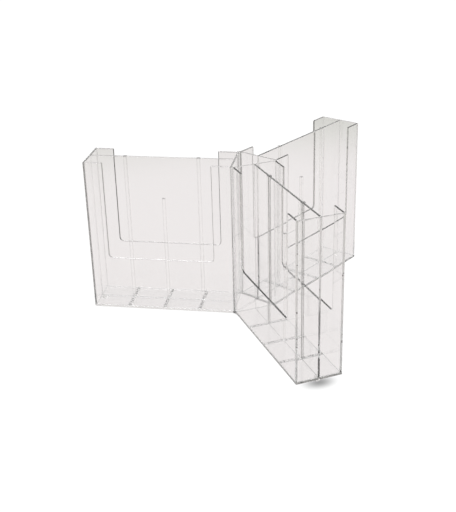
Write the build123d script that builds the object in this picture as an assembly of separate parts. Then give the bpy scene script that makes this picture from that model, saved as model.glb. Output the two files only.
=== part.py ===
"""Three-wing magazine rack of clear cast acrylic sheet, bonded edge to face.

Three identical double-sided wings stand 120 degrees apart round an open triangular hub. Each wing is a
tall open-topped box: a floor, two end walls, a centre panel and two outer panels with a wide U cut, which
makes two magazine pockets back to back. Small strips on the centre panel and the floor part each pocket
into quarters. Millimetres, +Z up, origin on the hub axis at the level of the table.
"""

import os
from math import sqrt

from build123d import *

# Sheet stock
SHEET = 3.2
FLOOR_SHEET = 4.0

# One wing, measured outwards from the hub
WING_LENGTH = 240.0
WING_WIDTH = 74.0
WING_HEIGHT = 256.0
WING_ANGLES = {"wing_1": 180.0, "wing_2": 300.0, "wing_3": 60.0}

# The U cut in each outer panel
INNER_COLUMN = 34.0
OUTER_COLUMN = 32.0
CUT_BOTTOM = 92.0
CUT_CORNER_RADIUS = 6.0
COLUMN_TIP_RADIUS = 1.6

# Guide strips at the quarters of each pocket
GUIDE_WIDTH = 5.0
GUIDE_THICKNESS = 1.5
QUARTERS = (0.25, 0.75)
MIDDLE = 0.5
SHORT_GUIDE_TOP = 185.0

# Bumper feet
FOOT_HEIGHT = 4.0
FOOT_RADIUS = 5.0
FOOT_TOE_RADIUS = 1.2
FOOT_INSET = 8.0

# Strips that fill the three notches where the wings meet
CORNER_LEG = 4.0

# Worked out from the sizes above
HUB_FACE = WING_WIDTH / (2 * sqrt(3))
HALF_WIDTH = WING_WIDTH / 2
FLOOR_TOP = FOOT_HEIGHT + FLOOR_SHEET
RACK_TOP = FOOT_HEIGHT + WING_HEIGHT
GUIDE_FACE = SHEET / 2 + GUIDE_THICKNESS


def slab(u, v, z):
    """A box between two limits on each axis: u outwards along the wing, v across it, z up."""
    spans = (u, v, z)
    centre = [sum(span) / 2 for span in spans]
    size = [abs(span[1] - span[0]) for span in spans]
    return Pos(*centre) * Box(*size)


def both_sides(shapes):
    """The shapes as given and again on the other side of the centre panel."""
    return shapes + [mirror(shape, Plane.XZ) for shape in shapes]


def floor_plate():
    """The plate that the walls stand on, as long and as wide as the wing."""
    return [slab((0, WING_LENGTH), (-HALF_WIDTH, HALF_WIDTH), (FOOT_HEIGHT, FLOOR_TOP))]


def end_wall(start):
    """A plain wall across the whole width of the wing."""
    return [slab((start, start + SHEET), (-HALF_WIDTH, HALF_WIDTH), (FLOOR_TOP, RACK_TOP))]


def centre_panel():
    """The wall between the two pockets."""
    return [slab((SHEET, WING_LENGTH - SHEET), (-SHEET / 2, SHEET / 2), (FLOOR_TOP, RACK_TOP))]


def cut_panel(side):
    """An outer panel with the wide U cut. side is +1 or -1 for the two faces of the wing."""
    cut_from = INNER_COLUMN
    cut_to = WING_LENGTH - OUTER_COLUMN
    cut_floor = FOOT_HEIGHT + CUT_BOTTOM
    inside = side * (HALF_WIDTH - SHEET)
    outside = side * HALF_WIDTH
    panel = slab((SHEET, WING_LENGTH - SHEET), (inside, outside), (FLOOR_TOP, RACK_TOP))
    cut = slab((cut_from, cut_to), (inside, outside), (cut_floor, RACK_TOP))
    panel = panel - cut

    def along_v_at(z):
        edges = panel.edges().filter_by(Axis.Y).filter_by_position(Axis.Z, z, z)
        return edges.filter_by_position(Axis.X, cut_from, cut_to)

    panel = fillet(along_v_at(cut_floor), CUT_CORNER_RADIUS)
    panel = fillet(along_v_at(RACK_TOP), COLUMN_TIP_RADIUS)
    return [panel]


def guide_strips(places, top):
    """Upright strips on both faces of the centre panel, at these shares of the wing's length."""
    strips = []
    for place in places:
        middle = place * WING_LENGTH
        across = (middle - GUIDE_WIDTH / 2, middle + GUIDE_WIDTH / 2)
        strips.append(slab(across, (SHEET / 2, GUIDE_FACE), (FLOOR_TOP, top)))
    return both_sides(strips)


def floor_guides():
    """Low strips across the floor of both pockets, in line with the upright ones."""
    strips = []
    for place in (*QUARTERS, MIDDLE):
        middle = place * WING_LENGTH
        across = (middle - GUIDE_WIDTH / 2, middle + GUIDE_WIDTH / 2)
        height = (FLOOR_TOP, FLOOR_TOP + GUIDE_THICKNESS)
        strips.append(slab(across, (GUIDE_FACE, HALF_WIDTH - SHEET), height))
    return both_sides(strips)


def bumper_foot():
    """A clear bumper under the outer end of the wing, with a rounded toe."""
    foot = Pos(WING_LENGTH - FOOT_INSET, 0, FOOT_HEIGHT / 2) * Cylinder(FOOT_RADIUS, FOOT_HEIGHT)
    return [fillet(foot.edges().sort_by(Axis.Z)[0], FOOT_TOE_RADIUS)]


def hub_corner_strip():
    """Fills the notch between this wing and the next one, from the floor plates up to the top."""
    along_this_wing = Vector(1, 0)
    along_next_wing = along_this_wing.rotate(Axis.Z, 120)
    corner = Vector(0, HALF_WIDTH)
    outline = Polyline(
        corner,
        corner + along_this_wing * CORNER_LEG,
        corner + along_next_wing * CORNER_LEG,
        close=True,
    )
    strip = extrude(make_face(outline), RACK_TOP - FOOT_HEIGHT)
    return [Pos(0, 0, FOOT_HEIGHT) * strip]


WING_PIECES = {
    "floor": floor_plate(),
    "inner_end_wall": end_wall(0),
    "outer_end_wall": end_wall(WING_LENGTH - SHEET),
    "centre_panel": centre_panel(),
    "left_panel": cut_panel(+1),
    "right_panel": cut_panel(-1),
    "tall_guides": guide_strips(QUARTERS, RACK_TOP),
    "short_guides": guide_strips([MIDDLE], FOOT_HEIGHT + SHORT_GUIDE_TOP),
    "floor_guides": floor_guides(),
    "foot": bumper_foot(),
    "hub_corner_strip": hub_corner_strip(),
}

os.makedirs("parts", exist_ok=True)
for wing, angle in WING_ANGLES.items():
    placement = Rot(0, 0, angle) * Pos(HUB_FACE, 0, 0)
    for piece, solids in WING_PIECES.items():
        placed = [placement * solid for solid in solids]
        node = Compound(children=placed) if len(placed) > 1 else placed[0]
        export_step(node, f"parts/{wing}_{piece}.step")
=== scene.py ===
from math import atan2, pi, radians

import bpy
from mathutils import Matrix, Vector


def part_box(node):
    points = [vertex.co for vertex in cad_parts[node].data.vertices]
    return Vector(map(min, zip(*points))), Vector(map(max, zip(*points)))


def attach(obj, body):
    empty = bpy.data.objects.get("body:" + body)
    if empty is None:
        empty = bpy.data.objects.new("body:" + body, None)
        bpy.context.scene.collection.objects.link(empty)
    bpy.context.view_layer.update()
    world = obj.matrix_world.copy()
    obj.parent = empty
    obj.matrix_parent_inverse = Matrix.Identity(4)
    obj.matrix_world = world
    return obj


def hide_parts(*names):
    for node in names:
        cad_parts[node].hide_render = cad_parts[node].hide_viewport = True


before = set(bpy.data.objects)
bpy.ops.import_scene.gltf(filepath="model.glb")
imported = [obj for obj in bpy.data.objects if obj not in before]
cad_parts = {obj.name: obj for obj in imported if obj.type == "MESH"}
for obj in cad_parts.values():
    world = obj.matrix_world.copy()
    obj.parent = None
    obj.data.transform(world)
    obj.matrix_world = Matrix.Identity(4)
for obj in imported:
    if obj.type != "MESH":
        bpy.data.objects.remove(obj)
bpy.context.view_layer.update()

# ---------------------------------------------------------------- sizes, in metres
BODY = "root"
TURNS = {"wing_1": 0, "wing_2": 120, "wing_3": 240}  # each wing is the first one turned about the hub

BOND = 0.00003  # half the thickness of a cemented joint
ARRIS = 0.0001  # the sharp corner taken off an edge before cementing
ROUND = 0.0013  # the round on an edge that is left open
ROUND_STEPS = 6

INNER_COLUMN = 0.034  # the columns beside the U cut, from the ends of the wing
OUTER_COLUMN = 0.032
CUT_BOTTOM = 0.092  # above the underside of the floor
CUT_CORNER_RADIUS = 0.006
CUT_CORNER_STEPS = 10
TIP_RADIUS = 0.0016
TIP_STEPS = 4

GUIDE_WIDTH = 0.005
GUIDE_THICKNESS = 0.0015
CORNER_LEG = 0.004  # the side of a hub corner strip
FOOT_SIDES = 48
TOE_RADIUS = 0.0012
TOE_STEPS = 5

X, Y, Z = Vector((1, 0, 0)), Vector((0, 1, 0)), Vector((0, 0, 1))
HAIR = 1e-5  # how near two places have to be to count as the same
AT_JOINT = 2 * ARRIS  # how near the middle of a face has to be to a joint to belong to it
BROAD = 0.98  # how squarely a broad face looks across its sheet
UPWARDS = 0.5  # how far up a face looks if it is a top edge
SHARP = radians(60)  # edges that turn more than this get an arris
SMOOTH = radians(30)  # edges of a foot that turn more than this stay crisp
FLAT = radians(1)  # faces that turn less than this become one face

FIRST_COLOUR, SECOND_COLOUR, MIXED_COLOUR = 6, 7, 2  # sockets of a Mix node that mixes colours


# ---------------------------------------------------------------- shader node helpers and groups
def new_group(name, inputs, outputs):
    """An empty shader node group with named number sockets, and its input and output nodes."""
    group = bpy.data.node_groups.new(name, "ShaderNodeTree")
    for label, value in inputs.items():
        socket = group.interface.new_socket(label, in_out="INPUT", socket_type="NodeSocketFloat")
        socket.default_value = value
    for label in outputs:
        group.interface.new_socket(label, in_out="OUTPUT", socket_type="NodeSocketFloat")
    return group, group.nodes.new("NodeGroupInput"), group.nodes.new("NodeGroupOutput")


def object_place(tree):
    """The socket that gives a point's place in the rack's own frame."""
    return tree.nodes.new("ShaderNodeTexCoord").outputs["Object"]


def noise(tree, place, scale, detail):
    """A noise texture's value at a place."""
    texture = tree.nodes.new("ShaderNodeTexNoise")
    texture.inputs["Scale"].default_value = scale
    texture.inputs["Detail"].default_value = detail
    tree.links.new(place, texture.inputs["Vector"])
    return texture.outputs["Fac"]


def join_socket(tree, source, socket):
    """Links a socket to another node's output, or sets it to a plain number."""
    if isinstance(source, (int, float)):
        socket.default_value = source
    else:
        tree.links.new(source, socket)


def maths(tree, operation, first, second):
    """One sum of two values, each a number or another node's output."""
    node = tree.nodes.new("ShaderNodeMath")
    node.operation = operation
    join_socket(tree, first, node.inputs[0])
    join_socket(tree, second, node.inputs[1])
    return node.outputs[0]


def spread(tree, value, start, end, low, high):
    """Takes a value between start and end smoothly to one between low and high."""
    node = tree.nodes.new("ShaderNodeMapRange")
    node.interpolation_type = "SMOOTHSTEP"
    join_socket(tree, value, node.inputs["Value"])
    join_socket(tree, start, node.inputs["From Min"])
    join_socket(tree, end, node.inputs["From Max"])
    join_socket(tree, low, node.inputs["To Min"])
    join_socket(tree, high, node.inputs["To Max"])
    return node.outputs["Result"]


def blend_colours(tree, share, first, second):
    """A mix of two colours, each a tuple or another node's output."""
    node = tree.nodes.new("ShaderNodeMix")
    node.data_type = "RGBA"
    join_socket(tree, share, node.inputs["Factor"])
    for colour, socket in ((first, node.inputs[FIRST_COLOUR]), (second, node.inputs[SECOND_COLOUR])):
        if isinstance(colour, tuple):
            socket.default_value = colour
        else:
            tree.links.new(colour, socket)
    return node.outputs[MIXED_COLOUR]


SMEAR_PITCH = 14
STREAK_STRETCH = (60, 60, 9)  # streaks run up and down the sheet
SMEARS_START, SMEARS_END = 0.24, 0.42  # where smears fade in, as smears times streaks
CHATTER_LOW, CHATTER_HIGH = 0.3, 0.7
BUBBLES_START = 0.006  # the height where bubbles begin to get fewer
FEWEST_BUBBLES = 0.3
BUBBLE_PITCH = 260


def handling_marks_group():
    """Faint smears and wiping streaks on polished sheet, as a roughness."""
    group, given, result = new_group("handling_marks", {"Polish": 0.0, "Smears": 0.05}, ["Roughness"])
    place = object_place(group)
    stretch = group.nodes.new("ShaderNodeMapping")
    stretch.inputs["Scale"].default_value = STREAK_STRETCH
    group.links.new(place, stretch.inputs["Vector"])
    smears = noise(group, place, SMEAR_PITCH, 4)
    streaks = noise(group, stretch.outputs["Vector"], 1, 3)
    patches = maths(group, "MULTIPLY", smears, streaks)
    polish, smeared = given.outputs["Polish"], given.outputs["Smears"]
    roughness = spread(group, patches, SMEARS_START, SMEARS_END, polish, smeared)
    group.links.new(roughness, result.inputs["Roughness"])
    return group


def tool_marks_group():
    """Fine chatter left by the saw and the scraper: a tone from 0 to 1, and a height for a bump."""
    group, given, result = new_group("tool_marks", {"Pitch": 900.0}, ["Tone", "Height"])
    chatter = group.nodes.new("ShaderNodeTexNoise")
    chatter.inputs["Detail"].default_value = 3
    group.links.new(object_place(group), chatter.inputs["Vector"])
    group.links.new(given.outputs["Pitch"], chatter.inputs["Scale"])
    tone = spread(group, chatter.outputs["Fac"], CHATTER_LOW, CHATTER_HIGH, 0.0, 1.0)
    group.links.new(tone, result.inputs["Tone"])
    group.links.new(chatter.outputs["Fac"], result.inputs["Height"])
    return group


def cement_bubbles_group():
    """Where cement ran thin near the foot of a joint: wavy bubbles that get fewer with height."""
    group, given, result = new_group("cement_bubbles", {"Reach": 0.05, "Most": 0.6}, ["Mask"])
    place = object_place(group)
    height = group.nodes.new("ShaderNodeSeparateXYZ")
    group.links.new(place, height.inputs[0])
    reach, most = given.outputs["Reach"], given.outputs["Most"]
    cover = spread(group, height.outputs["Z"], BUBBLES_START, reach, most, FEWEST_BUBBLES)
    mask = maths(group, "LESS_THAN", noise(group, place, BUBBLE_PITCH, 2), cover)
    group.links.new(mask, result.inputs["Mask"])
    return group


handling_marks = handling_marks_group()
tool_marks = tool_marks_group()
cement_bubbles = cement_bubbles_group()


# ---------------------------------------------------------------- materials
ACRYLIC_IOR = 1.49
CHATTER_PITCH = 900.0  # how fine the marks on edges are
CLOUD_PITCH = 1500.0
CHATTER_DEPTH = 0.0001
CEMENT_ROUGHNESS = 0.3
BUMPER_ROUGHNESS = 0.5
CEMENT = (0.97, 0.97, 0.96, 1)
BUBBLE = (0.01, 0.01, 0.01, 1)
DEPTH_COLOUR = (0.5, 0.5, 0.45, 1)  # what a long way through the acrylic leaves of white
DEPTH_DENSITY = 0.3


def clear_material(name):
    """Clear acrylic, which swallows a very little light on the way through. Its tint is set after."""
    material = bpy.data.materials.new(name)
    material.use_nodes = True
    tree = material.node_tree
    shader = tree.nodes["Principled BSDF"]
    shader.inputs["IOR"].default_value = ACRYLIC_IOR
    shader.inputs["Transmission Weight"].default_value = 1.0
    shader.inputs["Metallic"].default_value = 0.0
    depth = tree.nodes.new("ShaderNodeVolumeAbsorption")
    depth.inputs["Color"].default_value = DEPTH_COLOUR
    depth.inputs["Density"].default_value = DEPTH_DENSITY
    tree.links.new(depth.outputs[0], tree.nodes["Material Output"].inputs["Volume"])
    return material, tree, shader


def place_group(tree, group, **values):
    """One use of a node group in a material, with its own values."""
    node = tree.nodes.new("ShaderNodeGroup")
    node.node_tree = group
    for label, value in values.items():
        node.inputs[label].default_value = value
    return node.outputs


def polished_face_material():
    """The broad faces of clear sheet, with faint smears from handling."""
    material, tree, shader = clear_material("polished_face")
    shader.inputs["Base Color"].default_value = (0.997, 0.997, 0.996, 1)
    marks = place_group(tree, handling_marks, Polish=0.0, Smears=0.02)
    tree.links.new(marks["Roughness"], shader.inputs["Roughness"])
    return material


def edge_material(name, dark, light, roughness, bump):
    """An edge that was sawn, scraped or polished. Its dark and light tones are painted shade, for how dark
    the edge's line looks, and its tone shifts with the tool's chatter.
    """
    material, tree, shader = clear_material(name)
    marks = place_group(tree, tool_marks, Pitch=CHATTER_PITCH)
    tree.links.new(blend_colours(tree, marks["Tone"], dark, light), shader.inputs["Base Color"])
    shader.inputs["Roughness"].default_value = roughness
    grooves = tree.nodes.new("ShaderNodeBump")
    grooves.inputs["Strength"].default_value = bump
    grooves.inputs["Distance"].default_value = CHATTER_DEPTH
    tree.links.new(marks["Height"], grooves.inputs["Height"])
    tree.links.new(grooves.outputs["Normal"], shader.inputs["Normal"])
    return material


def cemented_material(name, reach, most):
    """An edge inside a cemented joint, with dark bubbles where the cement ran thin."""
    material, tree, shader = clear_material(name)
    bubbles = place_group(tree, cement_bubbles, Reach=reach, Most=most)
    tree.links.new(blend_colours(tree, bubbles["Mask"], CEMENT, BUBBLE), shader.inputs["Base Color"])
    shader.inputs["Roughness"].default_value = CEMENT_ROUGHNESS
    return material


def bumper_material():
    """Clear soft plastic of the feet, clouded a little."""
    material, tree, shader = clear_material("bumper")
    marks = place_group(tree, tool_marks, Pitch=CLOUD_PITCH)
    cloud = blend_colours(tree, marks["Tone"], (0.7, 0.69, 0.68, 1), (0.9, 0.89, 0.88, 1))
    tree.links.new(cloud, shader.inputs["Base Color"])
    shader.inputs["Roughness"].default_value = BUMPER_ROUGHNESS
    return material


polished_face = polished_face_material()
# the edge tones are painted shade: darkest on sawn edges, palest on polished ones; roughness and grooves
# are the tool's
polished_edge_faint_painted_shade = edge_material("polished_edge_faint_painted_shade", (0.88, 0.88, 0.87, 1), (0.97, 0.97, 0.96, 1), 0.02, 0.02)
scraped_edge_painted_shade = edge_material("scraped_edge_painted_shade", (0.3, 0.3, 0.29, 1), (0.5, 0.5, 0.49, 1), 0.1, 0.1)
sawn_edge_dark_painted_shade = edge_material("sawn_edge_dark_painted_shade", (0.01, 0.01, 0.01, 1), (0.06, 0.06, 0.06, 1), 0.2, 0.2)
full_joint = cemented_material("full_joint", 0.016, 0.45)
starved_joint = cemented_material("starved_joint", 0.085, 0.66)
bumper = bumper_material()

FACE, TOP, UPRIGHT, JOINT = 0, 1, 2, 3  # the four finishes of a sheet, as material slots

USUAL_EDGES = {  # top, upright and cemented edges; the tones of the edge materials are painted shade
    "floor": (polished_edge_faint_painted_shade, scraped_edge_painted_shade, full_joint),
    "inner_end_wall": (polished_edge_faint_painted_shade, polished_face, full_joint),
    "outer_end_wall": (polished_edge_faint_painted_shade, polished_edge_faint_painted_shade, full_joint),
    "centre_panel": (polished_edge_faint_painted_shade, polished_edge_faint_painted_shade, starved_joint),
    "left_panel": (sawn_edge_dark_painted_shade, polished_edge_faint_painted_shade, full_joint),
    "right_panel": (sawn_edge_dark_painted_shade, polished_edge_faint_painted_shade, full_joint),
    "tall_guides": (sawn_edge_dark_painted_shade, polished_edge_faint_painted_shade, full_joint),
    "short_guides": (sawn_edge_dark_painted_shade, polished_edge_faint_painted_shade, full_joint),
    "floor_guides": (polished_face, polished_face, full_joint),
    "hub_corner_strip": (polished_face, polished_face, full_joint),
}
ODD_EDGE_PAINTED_SHADES = {  # edges whose painted shade is darker or clearer on one wing than on the others
    ("wing_1", "floor"): (polished_edge_faint_painted_shade, polished_edge_faint_painted_shade, full_joint),
    ("wing_1", "outer_end_wall"): (scraped_edge_painted_shade, scraped_edge_painted_shade, full_joint),
    ("wing_1", "left_panel"): (polished_face, scraped_edge_painted_shade, full_joint),
    ("wing_1", "right_panel"): (polished_edge_faint_painted_shade, sawn_edge_dark_painted_shade, full_joint),
    ("wing_2", "centre_panel"): (scraped_edge_painted_shade, polished_edge_faint_painted_shade, starved_joint),
    ("wing_2", "tall_guides"): (sawn_edge_dark_painted_shade, scraped_edge_painted_shade, full_joint),
    ("wing_3", "left_panel"): (scraped_edge_painted_shade, scraped_edge_painted_shade, full_joint),
}


# ---------------------------------------------------------------- modelling helpers
def start_alone(piece):
    """Selects one piece only and makes it active."""
    bpy.ops.object.select_all(action="DESELECT")
    piece.select_set(True)
    bpy.context.view_layer.objects.active = piece


def apply_place(piece):
    """Puts the piece's place, turn and size into its mesh."""
    start_alone(piece)
    bpy.ops.object.transform_apply(location=True, rotation=True, scale=True)


def add_block(low, high):
    """A cube primitive stretched between two corners."""
    bpy.ops.object.select_all(action="DESELECT")
    bpy.ops.mesh.primitive_cube_add(size=1, location=(low + high) / 2, scale=high - low)
    block = bpy.context.object
    apply_place(block)
    return block


def open_edit(piece, mode):
    """Opens one piece in edit mode, to work on its vertices, edges or faces."""
    start_alone(piece)
    chosen = [mode == kind for kind in ("VERT", "EDGE", "FACE")]
    bpy.context.scene.tool_settings.mesh_select_mode = chosen
    bpy.ops.object.mode_set(mode="EDIT")


def close_edit():
    bpy.ops.object.mode_set(mode="OBJECT")


def select_nothing(mesh):
    for elements in (mesh.vertices, mesh.edges, mesh.polygons):
        elements.foreach_set("select", [False] * len(elements))


def bevel_edges(piece, test, radius, steps):
    """Rounds the edges whose two ends pass a test."""
    mesh = piece.data
    select_nothing(mesh)
    for edge in mesh.edges:
        ends = [mesh.vertices[i].co for i in edge.vertices]
        edge.select = test(*ends)
    open_edit(piece, "EDGE")
    bpy.ops.mesh.bevel(offset=radius, segments=steps, affect="EDGES")
    close_edit()


def delete_faces(piece, test):
    """Deletes the faces whose centre passes a test."""
    select_nothing(piece.data)
    for face in piece.data.polygons:
        face.select = test(face.center)
    open_edit(piece, "FACE")
    bpy.ops.mesh.delete(type="FACE")
    close_edit()


def round_open_edges(piece, across, joints):
    """Rounds the edges round both broad faces, apart from those in the planes that joints lists."""

    def is_open(a, b):
        crosses_sheet = abs((a - b) @ across) > HAIR
        is_cemented = any(abs(a @ n - d) < HAIR and abs(b @ n - d) < HAIR for n, d in joints)
        return not crosses_sheet and not is_cemented

    bevel_edges(piece, is_open, ROUND, ROUND_STEPS)


def soften_arrises(piece):
    """Takes the sharp corner off the edges that are left."""
    start_alone(piece)
    bevel = piece.modifiers.new("arris", "BEVEL")
    bevel.width = ARRIS
    bevel.segments = 1
    bevel.limit_method = "ANGLE"
    bevel.angle_limit = SHARP
    bpy.ops.object.modifier_apply(modifier=bevel.name)


def dress_sheet(piece, across, joints):
    """Sorts the faces into broad faces, top edges, upright edges and cemented edges."""
    for finish in (polished_face, polished_edge_faint_painted_shade, scraped_edge_painted_shade, full_joint):
        piece.data.materials.append(finish)
    for face in piece.data.polygons:
        if any(abs(face.center @ n - d) < AT_JOINT for n, d in joints):
            face.material_index = JOINT
        elif abs(face.normal @ across) > BROAD:
            face.material_index = FACE
        elif face.normal.z > UPWARDS:
            face.material_index = TOP
        else:
            face.material_index = UPRIGHT


def join(pieces):
    """Joins pieces into one object."""
    bpy.ops.object.select_all(action="DESELECT")
    for piece in pieces:
        piece.select_set(True)
    bpy.context.view_layer.objects.active = pieces[0]
    bpy.ops.object.join()
    return pieces[0]


def less_bond(low, high, axes):
    """Pulls a box in by a bond's half thickness on each axis that axes names."""
    step = Vector([BOND if axis in axes else 0 for axis in "XYZ"])
    return low + step, high - step


# ---------------------------------------------------------------- the pieces of the first wing
def first_wing_box(piece):
    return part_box("wing_1_" + piece)


def plain_sheet(piece, across, bonds, cemented):
    """A rectangular sheet. cemented names the sides that are joints: low z, both x ends, or none."""
    low, high = less_bond(*first_wing_box(piece), bonds)
    joints = []
    if "Z" in cemented:
        joints.append((Z, low.z))
    if "X" in cemented:
        joints += [(X, low.x), (X, high.x)]
    sheet = add_block(low, high)
    round_open_edges(sheet, across, joints)
    soften_arrises(sheet)
    dress_sheet(sheet, across, joints)
    return sheet


def floor_plate():
    """The plate under the walls. Only its lower edges are open."""
    low, high = less_bond(*first_wing_box("floor"), "XZ")
    plate = add_block(low, high)
    bevel_edges(plate, lambda a, b: max(a.z, b.z) < low.z + HAIR, ROUND, ROUND_STEPS)
    soften_arrises(plate)
    dress_sheet(plate, Z, [])
    return plate


def cut_sheet(piece):
    """An outer panel: a plane cut to a U, thickened, with round inner corners and column tips."""
    low, high = less_bond(*first_wing_box(piece), "XZ")
    outer_end = first_wing_box("outer_end_wall")[0].x
    inner_end = first_wing_box("inner_end_wall")[1].x
    cut_left = outer_end + OUTER_COLUMN
    cut_right = inner_end - INNER_COLUMN
    cut_floor = first_wing_box("floor")[0].z + CUT_BOTTOM
    centre = (low + high) / 2
    bpy.ops.object.select_all(action="DESELECT")
    bpy.ops.mesh.primitive_plane_add(size=1, location=(centre.x, low.y, centre.z), rotation=(pi / 2, 0, 0))
    sheet = bpy.context.object
    sheet.scale = (high.x - low.x, high.z - low.z, 1)
    apply_place(sheet)
    open_edit(sheet, "VERT")
    for place, across in ((X * cut_left, X), (X * cut_right, X), (Z * cut_floor, Z)):
        bpy.ops.mesh.select_all(action="SELECT")
        bpy.ops.mesh.bisect(plane_co=place, plane_no=across)
    close_edit()
    delete_faces(sheet, lambda c: cut_left < c.x < cut_right and c.z > cut_floor)

    open_edit(sheet, "VERT")
    bpy.ops.mesh.select_all(action="SELECT")
    bpy.ops.mesh.dissolve_limited(angle_limit=FLAT)
    bpy.ops.mesh.select_all(action="SELECT")
    bpy.ops.mesh.extrude_region_move(TRANSFORM_OT_translate={"value": (0, high.y - low.y, 0)})
    bpy.ops.mesh.select_all(action="SELECT")
    bpy.ops.mesh.normals_make_consistent(inside=False)
    close_edit()

    for height, radius, steps in (
        (cut_floor, CUT_CORNER_RADIUS, CUT_CORNER_STEPS),
        (high.z, TIP_RADIUS, TIP_STEPS),
    ):

        def is_cut_corner(a, b):
            goes_across = abs(a.x - b.x) < HAIR and abs(a.z - b.z) < HAIR
            at_cut = min(abs(a.x - cut_left), abs(a.x - cut_right)) < HAIR
            return goes_across and at_cut and abs(a.z - height) < HAIR

        bevel_edges(sheet, is_cut_corner, radius, steps)
    joints = [(Z, low.z), (X, low.x), (X, high.x)]
    round_open_edges(sheet, Y, joints)
    soften_arrises(sheet)
    dress_sheet(sheet, Y, joints)
    return sheet


def strips(boxes, across):
    """Guide strips with softened arrises, joined into one piece."""
    made = []
    for low, high in boxes:
        low, high = less_bond(low, high, "YZ")
        strip = add_block(low, high)
        soften_arrises(strip)
        dress_sheet(strip, across, [(Z, low.z)])
        made.append(strip)
    return join(made)


def guide_starts(piece, count):
    """Where each strip of a row begins along the wing."""
    low, high = first_wing_box(piece)
    gap = (high.x - low.x - GUIDE_WIDTH) / max(count - 1, 1)
    return [low.x + gap * i for i in range(count)]


def upright_guides(piece, count):
    """Strips on both faces of the centre panel."""
    low, high = first_wing_box(piece)
    sides = ((low.y, low.y + GUIDE_THICKNESS), (high.y - GUIDE_THICKNESS, high.y))
    boxes = []
    for start in guide_starts(piece, count):
        for near, far in sides:
            boxes.append((Vector((start, near, low.z)), Vector((start + GUIDE_WIDTH, far, high.z))))
    return strips(boxes, Y)


def floor_guides():
    """Low strips across the floor of both pockets, up to the strips on the centre panel."""
    low, high = first_wing_box("floor_guides")
    stop = first_wing_box("tall_guides")[1].y
    boxes = []
    for start in guide_starts("floor_guides", 3):
        for near, far in ((low.y, -stop), (stop, high.y)):
            boxes.append((Vector((start, near, low.z)), Vector((start + GUIDE_WIDTH, far, high.z))))
    return strips(boxes, Z)


def foot():
    """A bumper: a short cylinder with a round toe."""
    low, high = first_wing_box("foot")
    centre = (low + high) / 2
    bpy.ops.object.select_all(action="DESELECT")
    bpy.ops.mesh.primitive_cylinder_add(
        vertices=FOOT_SIDES, radius=(high.x - low.x) / 2, depth=high.z - low.z - BOND, location=centre
    )
    bump = bpy.context.object
    apply_place(bump)
    bevel_edges(bump, lambda a, b: max(a.z, b.z) < centre.z, TOE_RADIUS, TOE_STEPS)
    start_alone(bump)
    bpy.ops.object.shade_smooth_by_angle(angle=SMOOTH)
    bump.data.materials.append(bumper)
    return bump


def hub_corner_strip():
    """A three-sided strip that fills the notch between two wings, one corner towards the hub."""
    low, high = first_wing_box("hub_corner_strip")
    wall_low, wall_high = first_wing_box("inner_end_wall")
    corner = Vector((wall_high.x, wall_low.y, (low.z + high.z) / 2))
    outwards = Vector((corner.x, corner.y, 0)).normalized()
    bpy.ops.object.select_all(action="DESELECT")
    bpy.ops.mesh.primitive_cylinder_add(
        vertices=3,
        radius=CORNER_LEG,
        depth=high.z - low.z,
        location=corner + outwards * CORNER_LEG / 3,
        rotation=(0, 0, atan2(-outwards.y, -outwards.x) - pi / 2),
    )
    strip = bpy.context.object
    strip.scale = (1, 1 / 3, 1)
    apply_place(strip)
    soften_arrises(strip)
    dress_sheet(strip, outwards, [(Z, low.z)])
    return strip


FIRST_WING = {
    "floor": floor_plate(),
    "inner_end_wall": plain_sheet("inner_end_wall", X, "XZ", "Z"),
    "outer_end_wall": plain_sheet("outer_end_wall", X, "Z", "Z"),
    "centre_panel": plain_sheet("centre_panel", Y, "XZ", "XZ"),
    "left_panel": cut_sheet("left_panel"),
    "right_panel": cut_sheet("right_panel"),
    "tall_guides": upright_guides("tall_guides", 2),
    "short_guides": upright_guides("short_guides", 1),
    "floor_guides": floor_guides(),
    "foot": foot(),
    "hub_corner_strip": hub_corner_strip(),
}


def turned_copy(piece, turn):
    """A copy with its own mesh, turned about the hub axis."""
    copy = piece.copy()
    copy.data = piece.data.copy()
    bpy.context.collection.objects.link(copy)
    copy.rotation_euler.z = radians(turn)
    apply_place(copy)
    return copy


def finish_and_shade_edges(piece, wing, part):
    """Gives a sheet the edge finishes of its wing, and with them their painted shade."""
    finishes = ODD_EDGE_PAINTED_SHADES.get((wing, part), USUAL_EDGES[part])
    for slot, finish in zip((TOP, UPRIGHT, JOINT), finishes):
        piece.material_slots[slot].material = finish


for wing, turn in TURNS.items():
    for part, original in FIRST_WING.items():
        piece = turned_copy(original, turn)
        piece.name = f"{wing}_{part}_clear"
        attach(piece, BODY)
        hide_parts(f"{wing}_{part}")
        piece.visible_shadow = False
        piece.visible_diffuse = False
        if part == "foot":
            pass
        else:
            finish_and_shade_edges(piece, wing, part)
for original in FIRST_WING.values():
    bpy.data.objects.remove(original)


# ---------------------------------------------------------------- floor, light and camera
FLOOR_WHITE = (0.84, 0.84, 0.84, 1)
FLOOR_THROUGH_SHEET = (0.685, 0.66, 0.657, 1)  # its tone where it is seen through a sheet
FLOOR_FAR_OFF = (0.47, 0.48, 0.44, 1)  # and where that is far from the rack
FAR_FROM = (0, 0.1, 0)
FAR_START, FAR_END = 0.55, 1.25
FLOOR_SIZE = 40
SHADED_FOOT = "wing_2_foot"  # the one nearest the camera, whose shade, painted into the floor's colour, shows past the floor plate
# the floor's colour at the heart of the painted shade
SHADE_TONE = (0.1, 0.1, 0.1, 1)
SHADE_DEPTH = 0.75
SHADE_SPREAD = Vector((0.023, 0.035, 0.01))  # the soft painted shade under a wing's end: along the wing, across it
SHADE_CENTRE = 0.008  # how far past the foot the painted shade is centred


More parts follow.
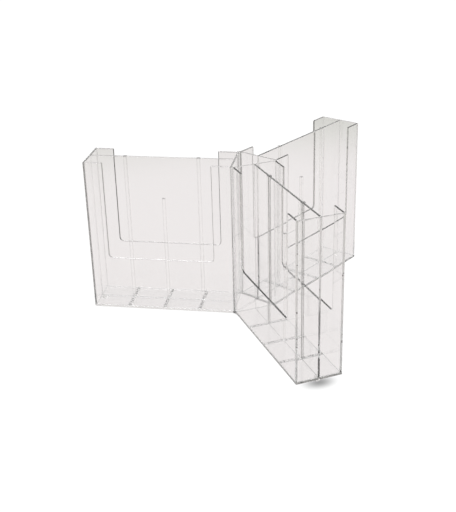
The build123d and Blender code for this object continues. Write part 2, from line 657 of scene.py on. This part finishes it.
def painted_foot_shade(tree, place):
    """How much of the soft shade painted round the shaded foot falls on a place, from 0 to 1."""
    low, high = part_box(SHADED_FOOT)
    middle = (low + high) / 2
    outwards = Vector((middle.x, middle.y, 0)).normalized()
    local = tree.nodes.new("ShaderNodeMapping")
    local.vector_type = "TEXTURE"
    local.inputs["Location"].default_value = Vector((middle.x, middle.y, 0)) + outwards * SHADE_CENTRE
    local.inputs["Rotation"].default_value = (0, 0, atan2(outwards.y, outwards.x))
    local.inputs["Scale"].default_value = SHADE_SPREAD
    tree.links.new(place, local.inputs["Vector"])
    distance = tree.nodes.new("ShaderNodeVectorMath")
    distance.operation = "LENGTH"
    tree.links.new(local.outputs["Vector"], distance.inputs[0])
    return spread(tree, distance.outputs["Value"], 0.0, 1.0, SHADE_DEPTH, 0.0)


def floor_material():
    """A white table, with its warm grey tone where it is seen through the sheets, and a shade painted into
    its colour round the shaded foot.
    """
    material = bpy.data.materials.new("studio_floor")
    material.use_nodes = True
    tree = material.node_tree
    shader = tree.nodes["Principled BSDF"]
    place = object_place(tree)
    distance = tree.nodes.new("ShaderNodeVectorMath")
    distance.operation = "DISTANCE"
    distance.inputs[1].default_value = FAR_FROM
    tree.links.new(place, distance.inputs[0])
    far_off = spread(tree, distance.outputs["Value"], FAR_START, FAR_END, 0.0, 1.0)
    through = blend_colours(tree, far_off, FLOOR_THROUGH_SHEET, FLOOR_FAR_OFF)
    # the shade round the foot is painted into the colour of the open floor
    open_floor = blend_colours(tree, painted_foot_shade(tree, place), FLOOR_WHITE, SHADE_TONE)
    rays = tree.nodes.new("ShaderNodeLightPath")
    colour = blend_colours(tree, rays.outputs["Is Camera Ray"], through, open_floor)
    tree.links.new(colour, shader.inputs["Base Color"])
    shader.inputs["Roughness"].default_value = 1.0
    shader.inputs["Specular IOR Level"].default_value = 0.0
    return material


bpy.ops.object.select_all(action="DESELECT")
bpy.ops.mesh.primitive_plane_add(size=FLOOR_SIZE)
floor = bpy.context.object
floor.name = "studio_floor"
floor.data.materials.append(floor_material())


ROOM_LIGHT = 0.8
BEHIND_START, BEHIND_END = -0.1, 0.4  # where the light behind the rack fades in, as the way's Y
ABOVE_START, ABOVE_END = 0.7, 0.85  # where the light overhead fades in, as the way's Z
IN_FRONT = 0.03
AROUND = 0.9
KEY_STRENGTH = 1.6
KEY_SPREAD = radians(40)
KEY_TURN = (radians(25), radians(-15), 0)


def light_the_studio():
    """A white room for the floor and the background. For the sheets it is dim in front of the rack."""
    world = bpy.data.worlds.new("studio")
    bpy.context.scene.world = world
    world.use_nodes = True
    tree = world.node_tree
    background = tree.nodes["Background"]
    rays = tree.nodes.new("ShaderNodeLightPath")
    plain = maths(tree, "MAXIMUM", rays.outputs["Is Camera Ray"], rays.outputs["Is Diffuse Ray"])
    way = tree.nodes.new("ShaderNodeSeparateXYZ")
    tree.links.new(tree.nodes.new("ShaderNodeTexCoord").outputs["Generated"], way.inputs[0])
    behind = spread(tree, way.outputs["Y"], BEHIND_START, BEHIND_END, IN_FRONT, AROUND)
    above = spread(tree, way.outputs["Z"], ABOVE_START, ABOVE_END, 0.0, AROUND)
    room = maths(tree, "MAXIMUM", behind, above)
    light = maths(tree, "MAXIMUM", plain, room)
    tree.links.new(maths(tree, "MULTIPLY", light, ROOM_LIGHT), background.inputs["Strength"])
    background.inputs["Color"].default_value = (1, 1, 1, 1)


light_the_studio()
sun_data = bpy.data.lights.new("soft_key", "SUN")
sun_data.energy = KEY_STRENGTH
sun_data.angle = KEY_SPREAD
sun = bpy.data.objects.new("soft_key", sun_data)
sun.rotation_euler = KEY_TURN
bpy.context.collection.objects.link(sun)

CAMERA_AZIMUTH = radians(9.853)
CAMERA_ELEVATION = radians(24.613)
CAMERA_ROLL = radians(-1.610)
CAMERA_PLACE = Vector((0.2122, -1.4403, 0.7605))
CAMERA_LENS = 68.45
CAMERA_SENSOR = 36
LIGHT_BOUNCES = 96  # a ray can run a long way inside a sheet
CLEAR_BOUNCES = 32
camera_data = bpy.data.cameras.new("camera")
camera_data.lens = CAMERA_LENS
camera_data.sensor_width = CAMERA_SENSOR
camera = bpy.data.objects.new("camera", camera_data)
camera.matrix_world = (
    Matrix.Translation(CAMERA_PLACE)
    @ Matrix.Rotation(CAMERA_AZIMUTH, 4, "Z")
    @ Matrix.Rotation(pi / 2 - CAMERA_ELEVATION, 4, "X")
    @ Matrix.Rotation(CAMERA_ROLL, 4, "Z")
)
bpy.context.collection.objects.link(camera)
scene = bpy.context.scene
scene.camera = camera
scene.view_settings.view_transform = "Standard"
scene.cycles.max_bounces = LIGHT_BOUNCES
scene.cycles.transmission_bounces = LIGHT_BOUNCES
scene.cycles.glossy_bounces = LIGHT_BOUNCES
scene.cycles.transparent_max_bounces = CLEAR_BOUNCES
